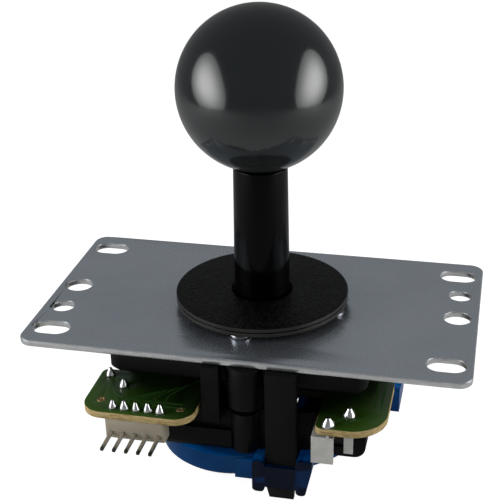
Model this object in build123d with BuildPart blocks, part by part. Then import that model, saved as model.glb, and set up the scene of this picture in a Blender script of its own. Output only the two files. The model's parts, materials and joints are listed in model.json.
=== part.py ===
from build123d import *
import math
import os

# Arcade joystick lever: a ball-topped stick on a slotted steel mounting plate, with a black
# housing, four lever microswitches on a green circuit board and a clear blue restrictor gate.
# All sizes are in millimetres. The origin is the centre of the plate's top face, on the axis
# of the upright lever. +Z points up the lever, +X to the right and -Y to the front.

# Mounting plate
plate_length = 95.0
plate_width = 53.0
plate_thickness = 1.6
plate_corner_r = 3.0
plate_hole_r = 10.5
slot_margin_x = 5.5
slot_margin_y = 6.5
slot_length = 8.0
slot_r = 2.7
side_hole_margin = 4.5
side_hole_r = 2.9
small_hole_r = 2.4
small_hole_offset = 10.4

# Plate screws
screw_pitch_r = 16.0
screw_turn = -4.6
screw_head_r = 2.5
screw_head_height = 1.1
screw_shank_r = 1.5
screw_length = 9.0
screw_clearance = 0.05
screw_hole_clearance = 0.25
recess_length = 2.8
recess_width = 0.7
recess_depth = 0.6

# Ball, stick and cover
ball_r = 17.25
ball_centre_z = 48.95
ball_flat_drop = 16.75
stud_r = 2.95
stud_length = 13.0
insert_across_flats = 10.0
insert_length = 8.0
insert_depth = 1.0
thread_clearance = 0.05
shaft_r = 4.0
tail_r = 2.5
shaft_bottom_z = -30.2
tail_top_z = -22.0
cover_bottom_r = 6.2
cover_top_r = 5.8
cover_clearance = 0.15
cover_top_gap = 0.3
screwdriver_slot_width = 0.9
screwdriver_slot_depth = 1.0

# Dust washers
washer_r = 19.0
washer_thickness = 1.0
washer_gap = 0.1
washer_bore_clearance = 0.45
washer_edge_r = 0.3
throw_clearance = 2.4

# Pivot and its socket
pivot_z = -8.0
pivot_r = 8.0
pivot_clearance = 0.05
pivot_top = 5.9
pivot_bottom = 4.2
clip_thickness = 0.8
clip_clearance = 0.02
upper_clip_r = 6.0
upper_groove_r = 3.2
lower_clip_r = 4.2
lower_groove_r = 1.9
tilt_limit = 8.0

# Upper housing
flange_length = 54.7
flange_shift = -0.8
flange_width = 50.0
flange_thickness = 5.0
flange_corner_r = 3.0
hub_r = 13.0
screw_boss_r = 3.2
boss_web = 2.0
socket_mouth_r = 10.0
socket_mouth_depth = 2.4
clip_arm_outer = 28.2
clip_arm_thickness = 2.0
clip_arm_centre = 9.55
clip_arm_width = 6.4
clip_arm_tip_width = 5.2
barb_depth = 0.8
barb_top_z = -28.7
barb_bottom_z = -32.3
front_boss_r = 4.05
front_boss_side = 1.5
front_boss_reach = 28.0
front_boss_height = 9.6
rib_centre = -5.25
rib_width = 3.7
rib_outer = 27.8
rib_height = 13.0

# Circuit board
board_top_z = -11.0
board_thickness = 1.6
board_half = 31.1
board_front_extra = 2.6
board_left_extra = 0.8
board_corner_r = 7.5
board_lobe_corner_r = 4.5
board_notch_start = -7.9
board_notch_end = 17.1
board_notch_depth = 13.4
board_notch_soft_r = 4.5
board_notch_sharp_r = 1.5
board_bore_clearance = 0.6
via_r = 0.45
solder_r = 1.05
switch_solder_r = 1.5
solder_tip_r = 0.3
solder_height = 2.0
pad_hole_r = 0.5

# Pin header at the front left
header_pins = 5
header_pitch = 2.54
header_centre_x = -20.0
header_row_inset = 2.1
header_length = 12.9
header_front_inset = 0.2
header_depth = 3.4
header_height = 4.6
header_pin = 0.72
header_pin_z = -15.9
header_pin_reach = 6.3
header_pin_clearance = 0.02

# Lower housing
lower_half = 24.2
lower_corner_r = 13.0
lower_bottom_z = -23.2
lower_bore_r = 14.5
pocket_outer = 26.6
pocket_step = 1.0
pocket_step_z = -17.1
pocket_bottom_z = -22.9
pocket_start = -23.0
pocket_end = -1.2
pocket_edge_r = 2.6
lower_boss_r = 3.0
lower_boss_side = 1.4
lower_boss_reach = 27.5
lower_boss_bottom_z = -21.8

# Microswitches
case_inner = 13.4
case_depth = 10.2
case_length = 19.8
case_end = -22.4
case_height = 6.4
case_top_z = -14.2
case_clearance = 0.1
case_hole_r = 1.2
case_hole_spacing = 9.5
case_line_depth = 0.25
hinge_u = 13.2
hinge_v = -20.5
curl_r = 0.6
curl_clearance = 0.15
blade_thickness = 0.3
blade_height = 3.0
blade_length = 24.0
blade_gap = 0.7
plunger_v = -9.5
plunger_width = 1.4
plunger_height = 2.4
plunger_clearance = 0.35
plunger_end = 15.6
plunger_touch = 0.08
plunger_bore_end = 16.8
wide_lead_u = 18.5
wide_lead_width = 4.6
wide_lead_v = -29.6
wide_lead_drop = 6.4
wide_lead_z = -14.0
narrow_lead_u = 23.3
narrow_lead_width = 1.9
narrow_lead_v = -25.4
narrow_lead_bottom_z = -20.3
lead_thickness = 0.5
lead_pin = 0.6
wide_pin_u = 19.6
narrow_pin_u = 23.4

# Spring and actuator
actuator_r = 9.5
actuator_bore_r = 8.3
actuator_top_z = -14.6
actuator_bottom_z = -22.8
actuator_floor = 1.6
neck_r = 5.0
neck_bottom_z = -27.6
actuator_edge_r = 0.6
spring_wire_r = 0.5
spring_r = 7.4
spring_turns = 3.5
spring_end_gap = 0.05
seat_thickness = 0.5
seat_inner_r = 6.8
seat_outer_r = 8.2

# Restrictor gate
gate_r = 26.0
gate_lobe_r = 16.4
gate_lobe_out = 10.9
gate_lobe_side = -4.0
gate_tab_start = -0.6
gate_tab_reach = 27.0
gate_tab_top_z = -23.8
gate_tab_bottom_z = -28.5
gate_bottom_z = -28.3
gate_edge = 0.8
gate_window_r = 15.0
gate_ledge = 1.0
plate_insert_r = 18.0
insert_gap = 0.05
restrictor_top_z = -25.0
restrictor_corner_r = 2.0
restrictor_gap = 0.25
bracket_outer = 29.2
bracket_side_extra = 1.8
bracket_side_lift = 1.4
bracket_inner = 24.6
bracket_start = 3.6
bracket_end = 16.3
bracket_left_top_z = -22.2
bracket_right_top_z = -21.2
bracket_bottom_z = -29.8
bracket_bar_top_z = -23.3
bracket_bar_bottom_z = -28.5
bracket_taper = 1.4
bracket_corner_r = 0.9
arm_clearance = 0.12

# Levels and places that follow from the sizes above
slot_spacing_x = plate_length - 2 * slot_margin_x
slot_spacing_y = plate_width - 2 * slot_margin_y
side_hole_spacing = plate_length - 2 * side_hole_margin
board_lobe_front = board_half + board_front_extra
board_lobe_left = board_half + board_left_extra
header_row_y = header_row_inset - board_lobe_front
header_front_y = header_front_inset - board_lobe_front
plate_bottom_z = -plate_thickness
flange_bottom_z = plate_bottom_z - flange_thickness
board_bottom_z = board_top_z - board_thickness
ball_flat_z = ball_centre_z - ball_flat_drop
pivot_top_z = pivot_z + pivot_top
clip_top_z = pivot_top_z + clip_thickness
cover_top_z = ball_flat_z - cover_top_gap
lower_washer_z = screw_head_height + washer_gap
upper_washer_z = lower_washer_z + washer_thickness + washer_gap / 2
seat_bottom_z = board_bottom_z - seat_thickness
actuator_floor_z = actuator_bottom_z + actuator_floor
case_bottom_z = case_top_z - case_height
blade_z = (case_top_z + case_bottom_z) / 2
case_outer = case_inner + case_depth
insert_bottom_z = gate_bottom_z + gate_ledge
sides = range(4)

# The gate stops the neck at the tilt limit.
neck_throw = (pivot_z - neck_bottom_z) * math.tan(math.radians(tilt_limit))
restrictor_half = neck_r / math.cos(math.radians(tilt_limit)) + neck_throw + restrictor_gap

# The blade runs from its hinge past the actuator, a small gap off the actuator's side.
hinge_distance = math.hypot(hinge_u, hinge_v)
blade_offset = actuator_r + blade_gap + blade_thickness / 2
blade_lean = math.atan2(hinge_u, -hinge_v) - math.asin(blade_offset / hinge_distance)


def side_plane(side, height):
    """Level plane of one of the four sides: local x points outwards, local y along the side."""
    angle = math.radians(90 * side)
    return Plane(origin=(0, 0, height), x_dir=(math.cos(angle), math.sin(angle), 0), z_dir=(0, 0, 1))


def side_section(side, along):
    """Upright plane across a side: local x points outwards, local y up, normal back along the side."""
    angle = math.radians(90 * side)
    out = Vector(math.cos(angle), math.sin(angle), 0)
    run = Vector(-math.sin(angle), math.cos(angle), 0)
    return Plane(origin=run * along, x_dir=out, z_dir=run * -1)


def side_front(side, out_distance):
    """Upright plane facing outwards from a side: local x runs along the side, local y up."""
    angle = math.radians(90 * side)
    out = Vector(math.cos(angle), math.sin(angle), 0)
    run = Vector(-math.sin(angle), math.cos(angle), 0)
    return Plane(origin=out * out_distance, x_dir=run, z_dir=out)


def block(side, inner, outer, start, end, top, bottom, mode=Mode.ADD):
    """Rectangular block on a side, from its inner to outer distance and between two levels."""
    with BuildSketch(side_plane(side, bottom)) as outline:
        with Locations(((inner + outer) / 2, (start + end) / 2)):
            Rectangle(outer - inner, end - start)
    extrude(outline.sketch, amount=top - bottom, mode=mode)


def side_wing(side, inner, outer, corners, radius):
    """Solid on a side from a rounded outline of (along, height) corners."""
    with BuildSketch(side_front(side, inner)) as outline:
        with BuildLine():
            Polyline(*corners, close=True)
        make_face()
        fillet(outline.vertices(), radius)
    extrude(outline.sketch, amount=outer - inner)


def disc(radius, top, bottom, mode=Mode.ADD):
    """Round slab on the lever's axis between two levels."""
    with BuildSketch(Plane.XY.offset(bottom)) as outline:
        Circle(radius)
    extrude(outline.sketch, amount=top - bottom, mode=mode)


def save(piece, name):
    piece.part.label = name
    export_step(piece.part, "parts/" + name + ".step")


os.makedirs("parts", exist_ok=True)


# Mounting plate: flat steel with four slots and four round holes at its ends
with BuildPart() as mounting_plate:
    with BuildSketch(Plane.XY.offset(plate_bottom_z)):
        RectangleRounded(plate_length, plate_width, plate_corner_r)
        Circle(plate_hole_r, mode=Mode.SUBTRACT)
        with GridLocations(slot_spacing_x, slot_spacing_y, 2, 2):
            SlotOverall(slot_length, 2 * slot_r, mode=Mode.SUBTRACT)
        with GridLocations(side_hole_spacing, 0, 2, 1):
            Circle(side_hole_r, mode=Mode.SUBTRACT)
        with Locations((-side_hole_spacing / 2, -small_hole_offset), (side_hole_spacing / 2, small_hole_offset)):
            Circle(small_hole_r, mode=Mode.SUBTRACT)
        with PolarLocations(screw_pitch_r, 4, start_angle=screw_turn):
            Circle(screw_shank_r + screw_hole_clearance, mode=Mode.SUBTRACT)
    extrude(amount=plate_thickness)
save(mounting_plate, "mounting_plate")


# Plate screws: low pan heads with a cross recess
with BuildPart() as plate_screws:
    with BuildSketch():
        with PolarLocations(screw_pitch_r, 4, start_angle=screw_turn):
            Circle(screw_head_r)
    extrude(amount=screw_head_height)
    fillet(plate_screws.faces().sort_by(Axis.Z)[-4:].edges(), screw_head_height * 0.7)
    with BuildSketch(Plane.XY.offset(-screw_length)):
        with PolarLocations(screw_pitch_r, 4, start_angle=screw_turn):
            Circle(screw_shank_r)
    extrude(amount=screw_length)
    with BuildSketch(Plane.XY.offset(screw_head_height - recess_depth)):
        with PolarLocations(screw_pitch_r, 4, start_angle=screw_turn):
            Rectangle(recess_length, recess_width)
            Rectangle(recess_width, recess_length)
    extrude(amount=recess_depth, mode=Mode.SUBTRACT)
save(plate_screws, "plate_screws")


# Ball top: a solid ball with a flat underneath and a bore for the threaded insert
insert_bottom = ball_flat_z + insert_depth
with BuildPart() as ball_top:
    with Locations((0, 0, ball_centre_z)):
        Sphere(ball_r)
    disc(ball_r, ball_flat_z, ball_centre_z - ball_r, Mode.SUBTRACT)
    disc(stud_r + thread_clearance, ball_flat_z + stud_length + insert_depth, ball_flat_z, Mode.SUBTRACT)
    with BuildSketch(Plane.XY.offset(insert_bottom)):
        RegularPolygon(insert_across_flats / 2, 6, major_radius=False)
    extrude(amount=insert_length, mode=Mode.SUBTRACT)
save(ball_top, "ball_top")

with BuildPart() as ball_insert:
    with BuildSketch(Plane.XY.offset(insert_bottom)):
        RegularPolygon(insert_across_flats / 2 - thread_clearance, 6, major_radius=False)
        Circle(stud_r + thread_clearance, mode=Mode.SUBTRACT)
    extrude(amount=insert_length)
save(ball_insert, "ball_insert")


# Shaft: steel rod with a threaded stud on top, two clip grooves and a slotted tail
lower_clip_top_z = neck_bottom_z
lower_clip_bottom_z = lower_clip_top_z - clip_thickness
with BuildPart() as shaft:
    disc(shaft_r, ball_flat_z, tail_top_z)
    disc(stud_r, ball_flat_z + stud_length, ball_flat_z)
    disc(tail_r, tail_top_z, shaft_bottom_z)
    with BuildSketch(Plane.XY.offset(pivot_top_z)):
        Circle(shaft_r)
        Circle(upper_groove_r, mode=Mode.SUBTRACT)
    extrude(amount=clip_thickness, mode=Mode.SUBTRACT)
    with BuildSketch(Plane.XY.offset(lower_clip_bottom_z)):
        Circle(tail_r)
        Circle(lower_groove_r, mode=Mode.SUBTRACT)
    extrude(amount=clip_thickness, mode=Mode.SUBTRACT)
    with BuildSketch(Plane.XY.offset(shaft_bottom_z)):
        Rectangle(3 * tail_r, screwdriver_slot_width)
    extrude(amount=screwdriver_slot_depth, mode=Mode.SUBTRACT)
    chamfer(shaft.faces().sort_by(Axis.Z)[-1].edges(), stud_r * 0.2)
save(shaft, "shaft")


def retaining_clip(bottom, outer_r, groove_r):
    """Flat clip ring, open on one side so that it pushes onto its groove."""
    with BuildPart() as clip:
        with BuildSketch(Plane.XY.offset(bottom)):
            Circle(outer_r)
            Circle(groove_r + clip_clearance, mode=Mode.SUBTRACT)
            with Locations((0, -outer_r)):
                Rectangle(1.5 * groove_r, 2 * outer_r, mode=Mode.SUBTRACT)
        extrude(amount=clip_thickness)
    return clip


save(retaining_clip(pivot_top_z, upper_clip_r, upper_groove_r), "pivot_clip")
save(retaining_clip(lower_clip_bottom_z, lower_clip_r, lower_groove_r), "actuator_clip")


# Shaft cover: a slightly tapered tube over the shaft
with BuildPart() as shaft_cover:
    with BuildSketch(Plane.XZ):
        with BuildLine():
            Polyline(
                (shaft_r + cover_clearance, clip_top_z),
                (cover_bottom_r, clip_top_z),
                (cover_top_r, cover_top_z),
                (shaft_r + cover_clearance, cover_top_z),
                close=True,
            )
        make_face()
    revolve(axis=Axis.Z)
save(shaft_cover, "shaft_cover")


# Dust washers: the lower one has a wide bore, the upper one closes round the cover
def dust_washer(bottom, bore_r):
    with BuildPart() as washer:
        disc(washer_r, bottom + washer_thickness, bottom)
        fillet(washer.edges(), washer_edge_r)
        disc(bore_r, bottom + washer_thickness, bottom, Mode.SUBTRACT)
    return washer


save(dust_washer(lower_washer_z, cover_bottom_r + throw_clearance), "slip_washer")
save(dust_washer(upper_washer_z, cover_bottom_r + washer_bore_clearance), "dust_washer")


# Pivot: a truncated ball on the shaft, seated in the housing's socket
with BuildPart() as pivot_ball:
    with Locations((0, 0, pivot_z)):
        Sphere(pivot_r)
    disc(pivot_r, pivot_z + pivot_r, pivot_top_z, Mode.SUBTRACT)
    disc(pivot_r, pivot_z - pivot_bottom, pivot_z - pivot_r, Mode.SUBTRACT)
    disc(shaft_r + pivot_clearance, pivot_z + pivot_r, pivot_z - pivot_r, Mode.SUBTRACT)
save(pivot_ball, "pivot_ball")


# Upper housing: flange, hub with the ball socket, screw bosses, and on each side a clip arm,
# a round boss and a rib
arm_inner = clip_arm_outer - clip_arm_thickness
arm_start = clip_arm_centre - clip_arm_width / 2
arm_end = clip_arm_centre + clip_arm_width / 2
arm_taper = (clip_arm_width - clip_arm_tip_width) / 2
socket_r = pivot_r + pivot_clearance
notch_inner = board_half - board_notch_depth
with BuildPart() as upper_housing:
    with BuildSketch(Plane.XY.offset(flange_bottom_z)):
        with Locations((flange_shift, 0)):
            RectangleRounded(flange_length, flange_width, flange_corner_r)
    extrude(amount=flange_thickness)
    chamfer(upper_housing.faces().sort_by(Axis.Z)[0].edges(), flange_corner_r * 0.3)
    disc(hub_r, flange_bottom_z, board_bottom_z)
    with BuildSketch(Plane.XY.offset(board_top_z)):
        with PolarLocations(screw_pitch_r, 4, start_angle=screw_turn):
            Circle(screw_boss_r)
        with PolarLocations((hub_r + screw_pitch_r) / 2, 4, start_angle=screw_turn):
            Rectangle(screw_pitch_r - hub_r + screw_boss_r, boss_web)
    extrude(amount=flange_bottom_z - board_top_z)
    for side in sides:
        with BuildSketch(side_section(side, arm_end)):
            with BuildLine():
                Polyline(
                    (arm_inner, plate_bottom_z),
                    (clip_arm_outer, plate_bottom_z),
                    (clip_arm_outer, barb_top_z),
                    (clip_arm_outer + barb_depth, barb_top_z),
                    (clip_arm_outer - barb_depth, barb_bottom_z),
                    (arm_inner, barb_bottom_z),
                    close=True,
                )
            make_face()
        extrude(amount=clip_arm_width)
        block(side, flange_width / 2 - flange_corner_r, arm_inner, arm_start, arm_end,
              plate_bottom_z, flange_bottom_z)
        with BuildSketch(side_front(side, arm_inner)):
            for edge_x, inward in ((arm_start, 1), (arm_end, -1)):
                with BuildLine():
                    Polyline(
                        (edge_x, bracket_bar_top_z),
                        (edge_x, barb_bottom_z),
                        (edge_x + inward * arm_taper, barb_bottom_z),
                        close=True,
                    )
                make_face()
        extrude(amount=clip_arm_thickness + barb_depth, mode=Mode.SUBTRACT)
        with BuildSketch(side_plane(side, plate_bottom_z - front_boss_height)):
            with Locations((front_boss_reach - front_boss_r, front_boss_side)):
                Circle(front_boss_r)
            with Locations((notch_inner / 2, front_boss_side)):
                Rectangle(notch_inner, 2 * front_boss_r, mode=Mode.SUBTRACT)
        extrude(amount=front_boss_height)
        block(side, flange_width / 2 - flange_corner_r, rib_outer, rib_centre - rib_width / 2,
              rib_centre + rib_width / 2, plate_bottom_z, board_bottom_z)
        block(side, pocket_outer - pocket_step + arm_clearance, rib_outer, rib_centre - rib_width / 2,
              rib_centre + rib_width / 2, plate_bottom_z, plate_bottom_z - rib_height)
    with Locations((0, 0, pivot_z)):
        Sphere(socket_r, mode=Mode.SUBTRACT)
    disc(socket_r + pivot_clearance, plate_bottom_z, pivot_z, Mode.SUBTRACT)
    with BuildSketch(Plane.XZ):
        with BuildLine():
            Polyline(
                (0, plate_bottom_z),
                (socket_mouth_r, plate_bottom_z),
                (socket_r, plate_bottom_z - socket_mouth_depth),
                (0, plate_bottom_z - socket_mouth_depth),
                close=True,
            )
        make_face()
    revolve(axis=Axis.Z, mode=Mode.SUBTRACT)
    with BuildSketch(Plane.XY.offset(-screw_length)):
        with PolarLocations(screw_pitch_r, 4, start_angle=screw_turn):
            Circle(screw_shank_r + screw_clearance)
    extrude(amount=screw_length, mode=Mode.SUBTRACT)
save(upper_housing, "upper_housing")


# Circuit board: a square ring with a lobe at each corner, the front left one longer
wide_pin = (wide_pin_u, wide_lead_v)
narrow_pin = (narrow_pin_u, narrow_lead_v)
header_first_x = header_centre_x - header_pitch * (header_pins - 1) / 2
header_holes = [(header_first_x + header_pitch * index, header_row_y) for index in range(header_pins)]
header_vias = [(header_first_x - 1.3 * header_pitch, header_row_y + header_pitch),
               (header_holes[-1][0] + 1.5 * header_pitch, header_row_y + 0.7 * header_pitch)]
corner_reach = board_half - board_corner_r / 2
with BuildPart() as circuit_board:
    with BuildSketch(Plane.XY.offset(board_bottom_z)) as board_outline:
        Rectangle(2 * board_half, 2 * board_half)
        with Locations(((board_notch_start - board_lobe_left) / 2, -board_lobe_front / 2)):
            Rectangle(board_notch_start + board_lobe_left, board_lobe_front)
        for side in sides:
            angle = math.radians(90 * side)
            notch_reach = board_lobe_front + 1
            out = (notch_inner + notch_reach) / 2
            run = (board_notch_start + board_notch_end) / 2
            centre_x = out * math.cos(angle) - run * math.sin(angle)
            centre_y = out * math.sin(angle) + run * math.cos(angle)
            with Locations(Location((centre_x, centre_y, 0), (0, 0, 90 * side))):
                Rectangle(notch_reach - notch_inner, board_notch_end - board_notch_start, mode=Mode.SUBTRACT)
        header_corner = board_outline.vertices().sort_by(lambda corner: corner.X + corner.Y)[0]
        fillet(header_corner, board_lobe_corner_r)
        outer = board_outline.vertices().filter_by(
            lambda corner: min(abs(corner.X), abs(corner.Y)) > corner_reach and max(corner.X, corner.Y) > 0)
        fillet(outer, board_corner_r)
        for level, radius in ((-board_notch_start, board_notch_soft_r), (board_notch_end, board_notch_sharp_r)):
            ends = board_outline.vertices().filter_by(
                lambda corner: max(abs(corner.X), abs(corner.Y)) > corner_reach
                and abs(min(abs(corner.X), abs(corner.Y)) - level) < 0.01)
            fillet(ends, radius)
        Circle(hub_r + board_bore_clearance, mode=Mode.SUBTRACT)
        with Locations(*header_holes):
            Circle(pad_hole_r, mode=Mode.SUBTRACT)
        with Locations(*header_vias):
            Circle(via_r, mode=Mode.SUBTRACT)
    extrude(amount=board_thickness)
    for side in sides:
        with BuildSketch(side_plane(side, board_bottom_z)):
            with Locations(wide_pin, narrow_pin):
                Circle(pad_hole_r, mode=Mode.ADD)
        extrude(amount=board_thickness, mode=Mode.SUBTRACT)
save(circuit_board, "circuit_board")

# Solder joints: a small cone over each pin
def solder_taper(radius):
    return math.degrees(math.atan2(radius - solder_tip_r, solder_height))


with BuildPart() as solder_joints:
    for side in sides:
        with BuildSketch(side_plane(side, board_top_z)):
            with Locations(wide_pin, narrow_pin):
                Circle(switch_solder_r)
        extrude(amount=solder_height, taper=solder_taper(switch_solder_r))
    with BuildSketch(Plane.XY.offset(board_top_z)):
        with Locations(*header_holes):
            Circle(solder_r)
    extrude(amount=solder_height, taper=solder_taper(solder_r))
save(solder_joints, "solder_joints")


# Pin header: a block under the board's front left lobe with right-angle pins
def header_pin_shapes(width, mode=Mode.ADD):
    for pin_x, pin_y in header_holes:
        with Locations((pin_x, pin_y, (board_top_z + header_pin_z - width / 2) / 2)):
            Box(width, width, board_top_z - header_pin_z + width / 2, mode=mode)
        pin_tip_y = header_front_y - header_pin_reach
        with Locations((pin_x, (pin_y + width / 2 + pin_tip_y) / 2, header_pin_z)):
            Box(width, pin_y + width / 2 - pin_tip_y, width, mode=mode)


with BuildPart() as header_body:
    with Locations((header_centre_x, header_front_y + header_depth / 2, board_bottom_z - header_height / 2)):
        Box(header_length, header_depth, header_height)
    chamfer(header_body.edges().filter_by(Axis.Z), header_pin / 2)
    header_pin_shapes(header_pin + 2 * header_pin_clearance, Mode.SUBTRACT)
save(header_body, "header_body")

with BuildPart() as header_pins_group:
    header_pin_shapes(header_pin)
save(header_pins_group, "header_pins")


# Lower housing: a frame with a pocket for a microswitch on each side, and a ring underneath
# that holds the restrictor plate down in the gate
with BuildPart() as lower_housing:
    with BuildSketch(Plane.XY.offset(lower_bottom_z)):
        RectangleRounded(2 * lower_half, 2 * lower_half, lower_corner_r)
    extrude(amount=board_bottom_z - lower_bottom_z)
    for side in sides:
        with BuildSketch(side_section(side, pocket_end)) as pocket_outline:
            with BuildLine():
                Polyline(
                    (case_inner, pocket_step_z),
                    (pocket_outer, pocket_step_z),
                    (pocket_outer, pocket_bottom_z),
                    (case_inner, pocket_bottom_z),
                    close=True,
                )
            make_face()
            fillet(pocket_outline.vertices().sort_by(lambda corner: corner.X - corner.Y)[-1], pocket_edge_r)
        extrude(amount=pocket_end - pocket_start)
        block(side, case_inner, pocket_outer - pocket_step, pocket_start, pocket_end,
              board_bottom_z, pocket_step_z)
        with BuildSketch(side_plane(side, lower_boss_bottom_z)):
            with Locations((lower_boss_reach - lower_boss_r, lower_boss_side)):
                Circle(lower_boss_r)
        extrude(amount=board_bottom_z - lower_boss_bottom_z)
    for side in sides:
        block(side, actuator_r - blade_thickness, case_outer + case_clearance, case_end - case_clearance,
              case_end + case_length + case_clearance, board_bottom_z, case_bottom_z - case_clearance,
              Mode.SUBTRACT)
        block(side, wide_lead_u - wide_lead_width / 2 - case_clearance,
              narrow_lead_u + narrow_lead_width / 2 + case_clearance, -lower_half - case_clearance,
              case_end, board_bottom_z, case_bottom_z, Mode.SUBTRACT)
    disc(plate_insert_r - insert_gap, lower_bottom_z, restrictor_top_z)
    disc(lower_bore_r, board_bottom_z, restrictor_top_z, Mode.SUBTRACT)
save(lower_housing, "lower_housing")


# Microswitches: case, leads, sprung blade and plunger, one set on each side
def switch_case(side):
    with BuildPart() as case:
        block(side, case_inner, case_outer, case_end, case_end + case_length, case_top_z, case_bottom_z)
        with BuildSketch(side_plane(side, case_bottom_z)):
            with Locations((hinge_u, hinge_v)):
                Circle(curl_r + curl_clearance)
            case_middle = ((case_inner + case_outer) / 2, case_end + case_length / 2)
            with Locations(case_middle):
                with GridLocations(0, case_hole_spacing, 1, 2):
                    Circle(case_hole_r)
        extrude(amount=case_height, mode=Mode.SUBTRACT)
        block(side, case_inner, plunger_bore_end, plunger_v - plunger_width / 2 - plunger_clearance,
              plunger_v + plunger_width / 2 + plunger_clearance, blade_z + plunger_height / 2 + plunger_clearance,
              blade_z - plunger_height / 2 - plunger_clearance, Mode.SUBTRACT)
        block(side, case_outer - case_line_depth, case_outer, case_end, case_end + case_length,
              blade_z + case_line_depth, blade_z - case_line_depth, Mode.SUBTRACT)
    return case


def switch_leads(side):
    with BuildPart() as leads:
        wide_start = wide_lead_u - wide_lead_width / 2
        wide_end = wide_lead_u + wide_lead_width / 2
        narrow_start = narrow_lead_u - narrow_lead_width / 2
        narrow_end = narrow_lead_u + narrow_lead_width / 2
        half = lead_thickness / 2
        pin = lead_pin / 2
        block(side, wide_start, wide_end, wide_lead_v - half, case_end, wide_lead_z, wide_lead_z - lead_thickness)
        block(side, wide_start, wide_end, wide_lead_v - half, wide_lead_v + half, wide_lead_z,
              wide_lead_z - wide_lead_drop)
        block(side, wide_pin_u - pin, wide_pin_u + pin, wide_lead_v - pin, wide_lead_v + pin, board_top_z,
              wide_lead_z - lead_thickness)
        block(side, narrow_start, case_outer - case_clearance, narrow_lead_v - half, case_end,
              narrow_lead_bottom_z + lead_thickness, narrow_lead_bottom_z)
        block(side, narrow_start, narrow_end, narrow_lead_v - half, narrow_lead_v + half, wide_lead_z,
              narrow_lead_bottom_z)
        block(side, narrow_pin_u - pin, narrow_pin_u + pin, narrow_lead_v - pin, narrow_lead_v + pin, board_top_z,
              wide_lead_z - lead_thickness)
    return leads


def switch_blade(side):
    angle = math.radians(90 * side)
    lean = angle + blade_lean
    origin_x = hinge_u * math.cos(angle) - hinge_v * math.sin(angle)
    origin_y = hinge_u * math.sin(angle) + hinge_v * math.cos(angle)
    plane = Plane(origin=(origin_x, origin_y, blade_z - blade_height / 2),
                  x_dir=(-math.sin(lean), math.cos(lean), 0), z_dir=(0, 0, 1))
    with BuildPart() as blade:
        with BuildSketch(plane):
            Circle(curl_r)
            with Locations((blade_length / 2, 0)):
                Rectangle(blade_length, blade_thickness)
            with Locations((blade_length, 0)):
                Circle(blade_thickness)
        extrude(amount=blade_height)
    return blade


def switch_plunger(side):
    blade_u = hinge_u - (plunger_v - hinge_v) * math.tan(blade_lean)
    start = blade_u + blade_thickness / 2 / math.cos(blade_lean)
    start += plunger_width / 2 * math.tan(blade_lean) + plunger_touch
    with BuildPart() as plunger:
        block(side, start, plunger_end, plunger_v - plunger_width / 2, plunger_v + plunger_width / 2,
              blade_z + plunger_height / 2, blade_z - plunger_height / 2)
    return plunger


for side, place in enumerate(("right", "rear", "left", "front")):
    save(switch_case(side), "switch_case_" + place)
    save(switch_leads(side), "switch_leads_" + place)
    save(switch_blade(side), "switch_blade_" + place)
    save(switch_plunger(side), "switch_plunger_" + place)


# Spring seat, return spring and actuator, under the hub
with BuildPart() as spring_seat:
    with BuildSketch(Plane.XY.offset(seat_bottom_z)):
        Circle(seat_outer_r)
        Circle(seat_inner_r, mode=Mode.SUBTRACT)
    extrude(amount=seat_thickness)
save(spring_seat, "spring_seat")

spring_top_z = seat_bottom_z - spring_end_gap - spring_wire_r
spring_bottom_z = actuator_floor_z + spring_end_gap + spring_wire_r
with BuildPart() as return_spring:
    spring_height = spring_top_z - spring_bottom_z
    with BuildLine(Plane.XY.offset(spring_bottom_z)) as spring_path:
        Helix(pitch=spring_height / spring_turns, height=spring_height, radius=spring_r)
    with BuildSketch(Plane(origin=spring_path.line @ 0, z_dir=spring_path.line % 0)):
        Circle(spring_wire_r)
    sweep(is_frenet=True)
save(return_spring, "return_spring")

with BuildPart() as actuator:
    disc(actuator_r, actuator_top_z, actuator_bottom_z)
    fillet(actuator.faces().sort_by(Axis.Z)[0].edges(), actuator_edge_r)
    disc(actuator_bore_r, actuator_top_z, actuator_floor_z, Mode.SUBTRACT)
    disc(neck_r, actuator_floor_z, neck_bottom_z)
    disc(tail_r + clip_clearance, actuator_floor_z, neck_bottom_z, Mode.SUBTRACT)
    disc(shaft_r + clip_clearance, actuator_floor_z, tail_top_z, Mode.SUBTRACT)
save(actuator, "actuator")


# Restrictor gate: a round frame with a lobe at the front left, four brackets for the clip arms,
# deeper ones at the right and left, and a separate square-holed plate
def gate_round(place, radius):
    """Round slab of the gate with a chamfered lower edge, centred at a place seen from the front side."""
    with BuildSketch(side_plane(3, gate_bottom_z)) as foot:
        with Locations(place):
            Circle(radius - gate_edge)
    extrude(foot.sketch, amount=gate_edge, taper=-45)
    with BuildSketch(side_plane(3, gate_bottom_z + gate_edge)) as rim:
        with Locations(place):
            Circle(radius)
    extrude(rim.sketch, amount=lower_bottom_z - gate_bottom_z - gate_edge)


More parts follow.
